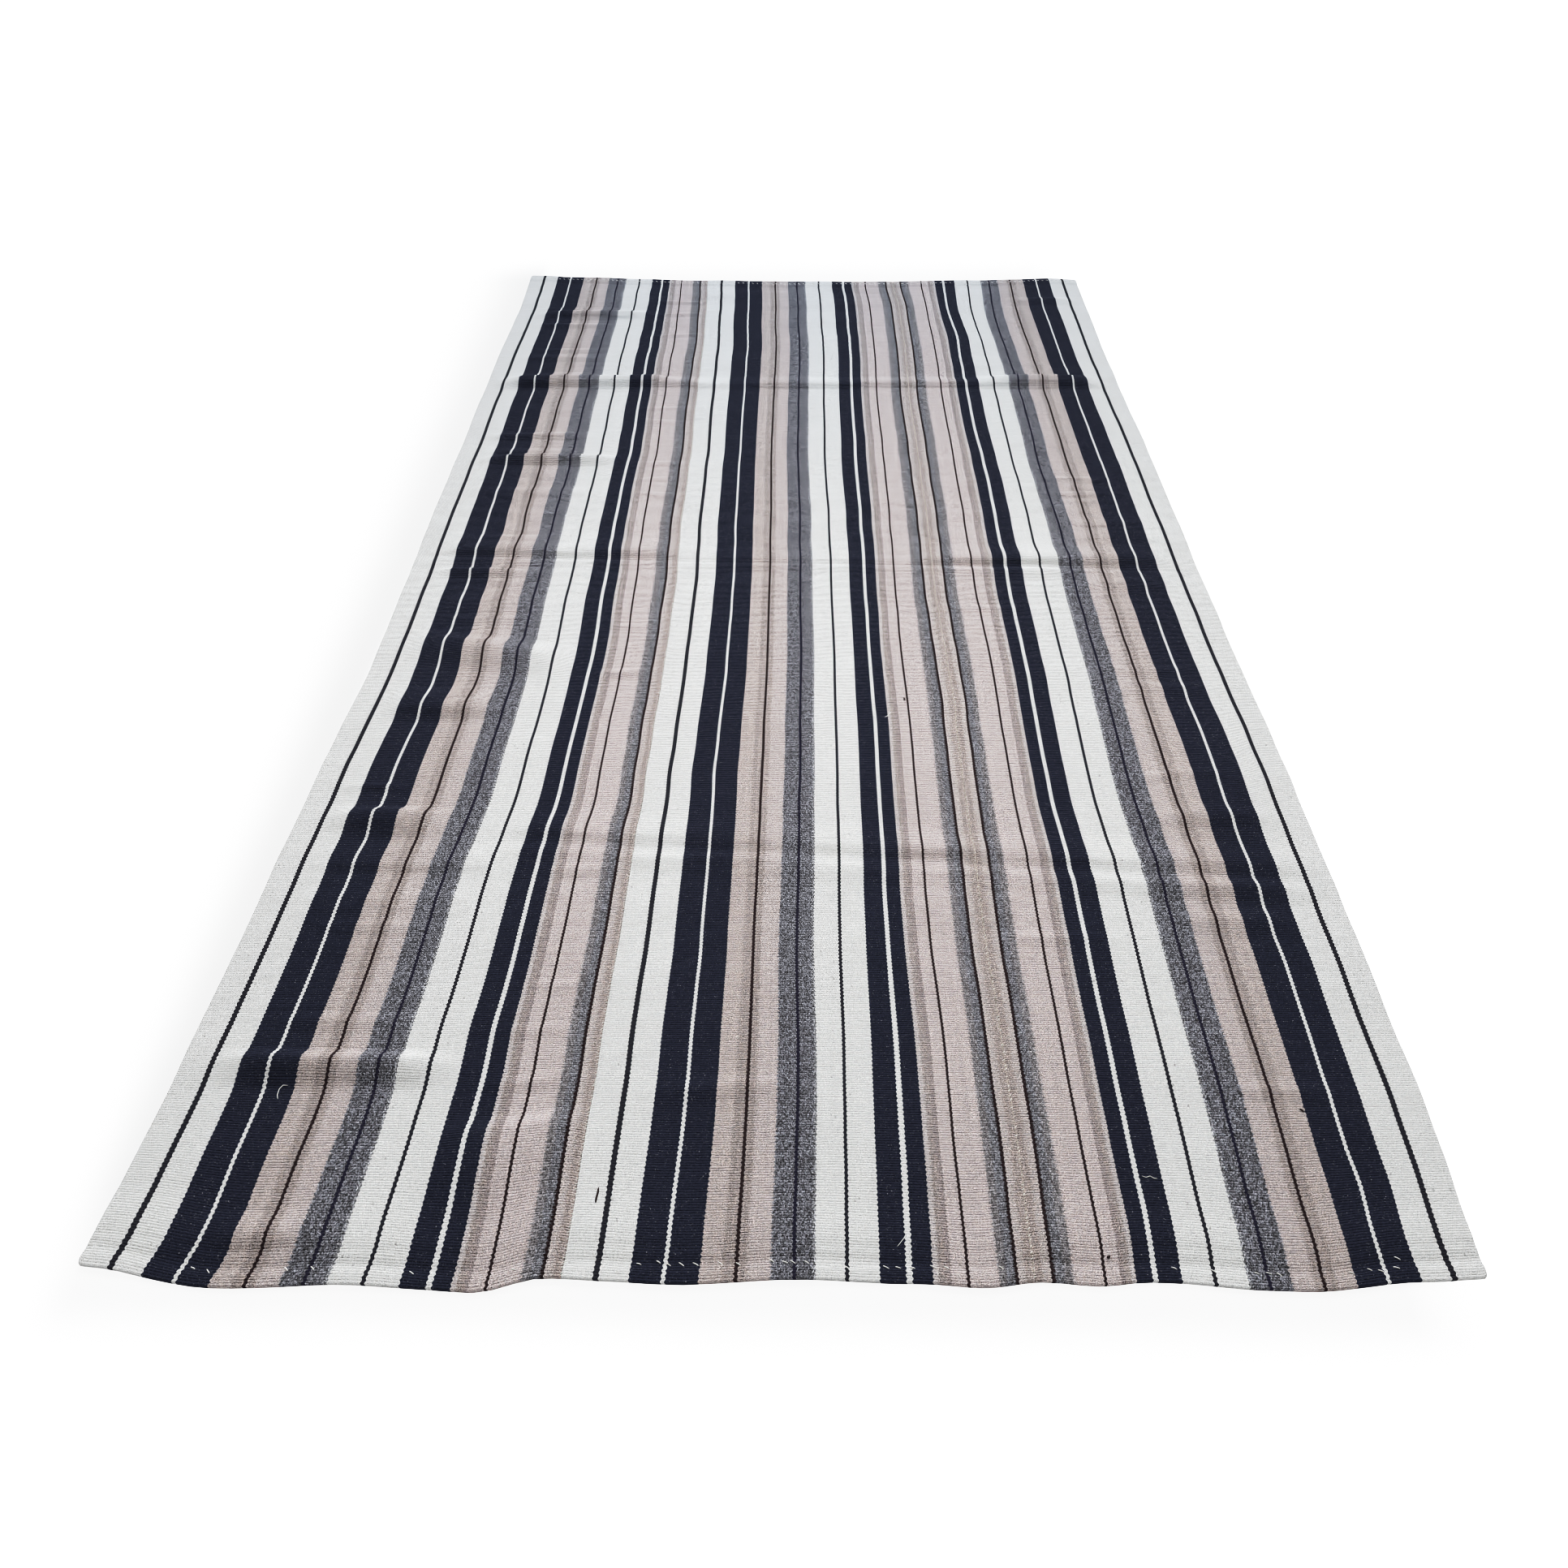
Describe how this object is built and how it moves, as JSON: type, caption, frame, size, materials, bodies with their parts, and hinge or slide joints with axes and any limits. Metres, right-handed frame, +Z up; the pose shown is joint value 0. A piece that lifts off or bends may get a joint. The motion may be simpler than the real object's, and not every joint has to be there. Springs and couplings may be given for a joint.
{
  "type": "flat-woven striped wool rug",
  "caption": "Flat-woven rug of long striped wool strips sewn side by side, hemmed at both ends, lying flat on a floor with low packing creases.",
  "frame": {"origin": "bottom centre of the rug's box, on the floor", "axes": "+X across the strips, +Y along the stripes from the near hem to the far hem, +Z up"},
  "size_m": [1.816, 3.326, 0.0238],
  "materials": {
    "wool_left": "coarse warp-faced wool weave, matt",
    "wool_middle": "coarse warp-faced wool weave, matt",
    "wool_right": "coarse warp-faced wool weave, matt"
  },
  "bodies": {
    "root": {"strip_left": "wool_left", "strip_middle": "wool_middle", "strip_right": "wool_right"}
  },
  "joints": []
}
